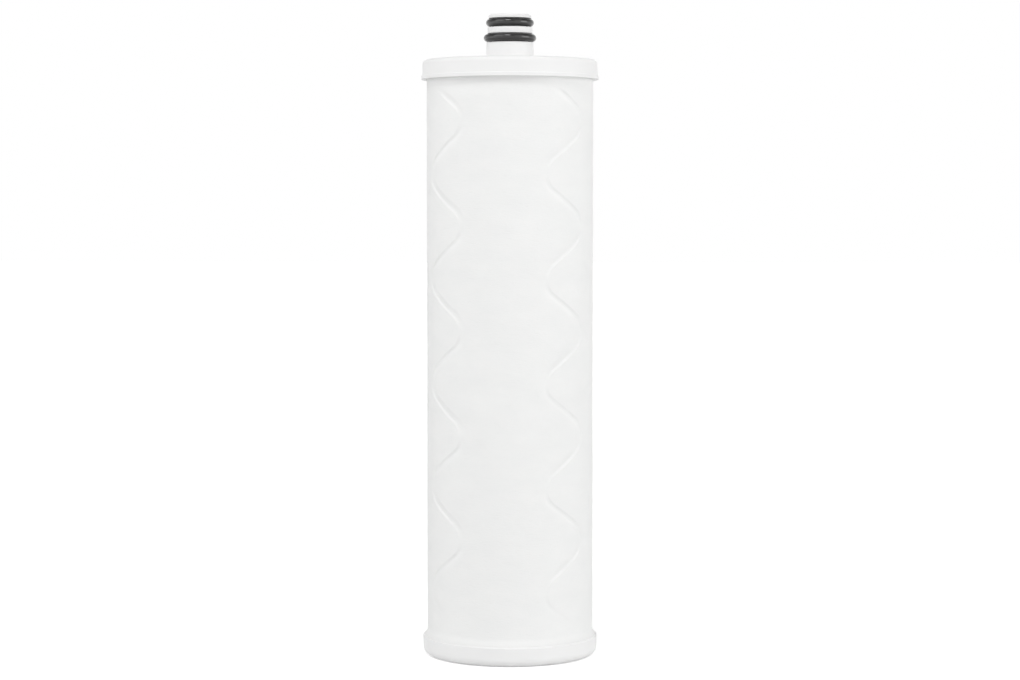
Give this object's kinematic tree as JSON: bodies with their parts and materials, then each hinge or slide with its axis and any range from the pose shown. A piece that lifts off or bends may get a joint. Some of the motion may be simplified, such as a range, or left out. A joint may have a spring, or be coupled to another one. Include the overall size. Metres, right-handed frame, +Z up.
{
  "type": "sediment filter cartridge",
  "caption": "Tall white cylinder of melt-blown fibre with pressed wave grooves, capped at both ends, with a short O-ring spigot on top as the outlet for filtered water.",
  "frame": {"origin": "middle of the flat base under the bottom cap", "axes": "+Z up the cartridge's axis, out of the outlet spigot; -Y is the front, the bare panel between two waves"},
  "size_m": [0.0676, 0.0676, 0.2448],
  "materials": {
    "melt_blown_fibre": "matte white melt-blown polypropylene fibre, faintly streaked round the tube",
    "cap_plastic": "satin white moulded polypropylene",
    "core_plastic": "plain natural white moulded polypropylene",
    "ring_rubber": "smooth black rubber with a light film of grease"
  },
  "bodies": {
    "root": {"filter_medium": "melt_blown_fibre", "core_tube": "core_plastic", "top_cap": "cap_plastic", "bottom_cap": "cap_plastic", "upper_o_ring": "ring_rubber", "lower_o_ring": "ring_rubber"}
  },
  "joints": []
}
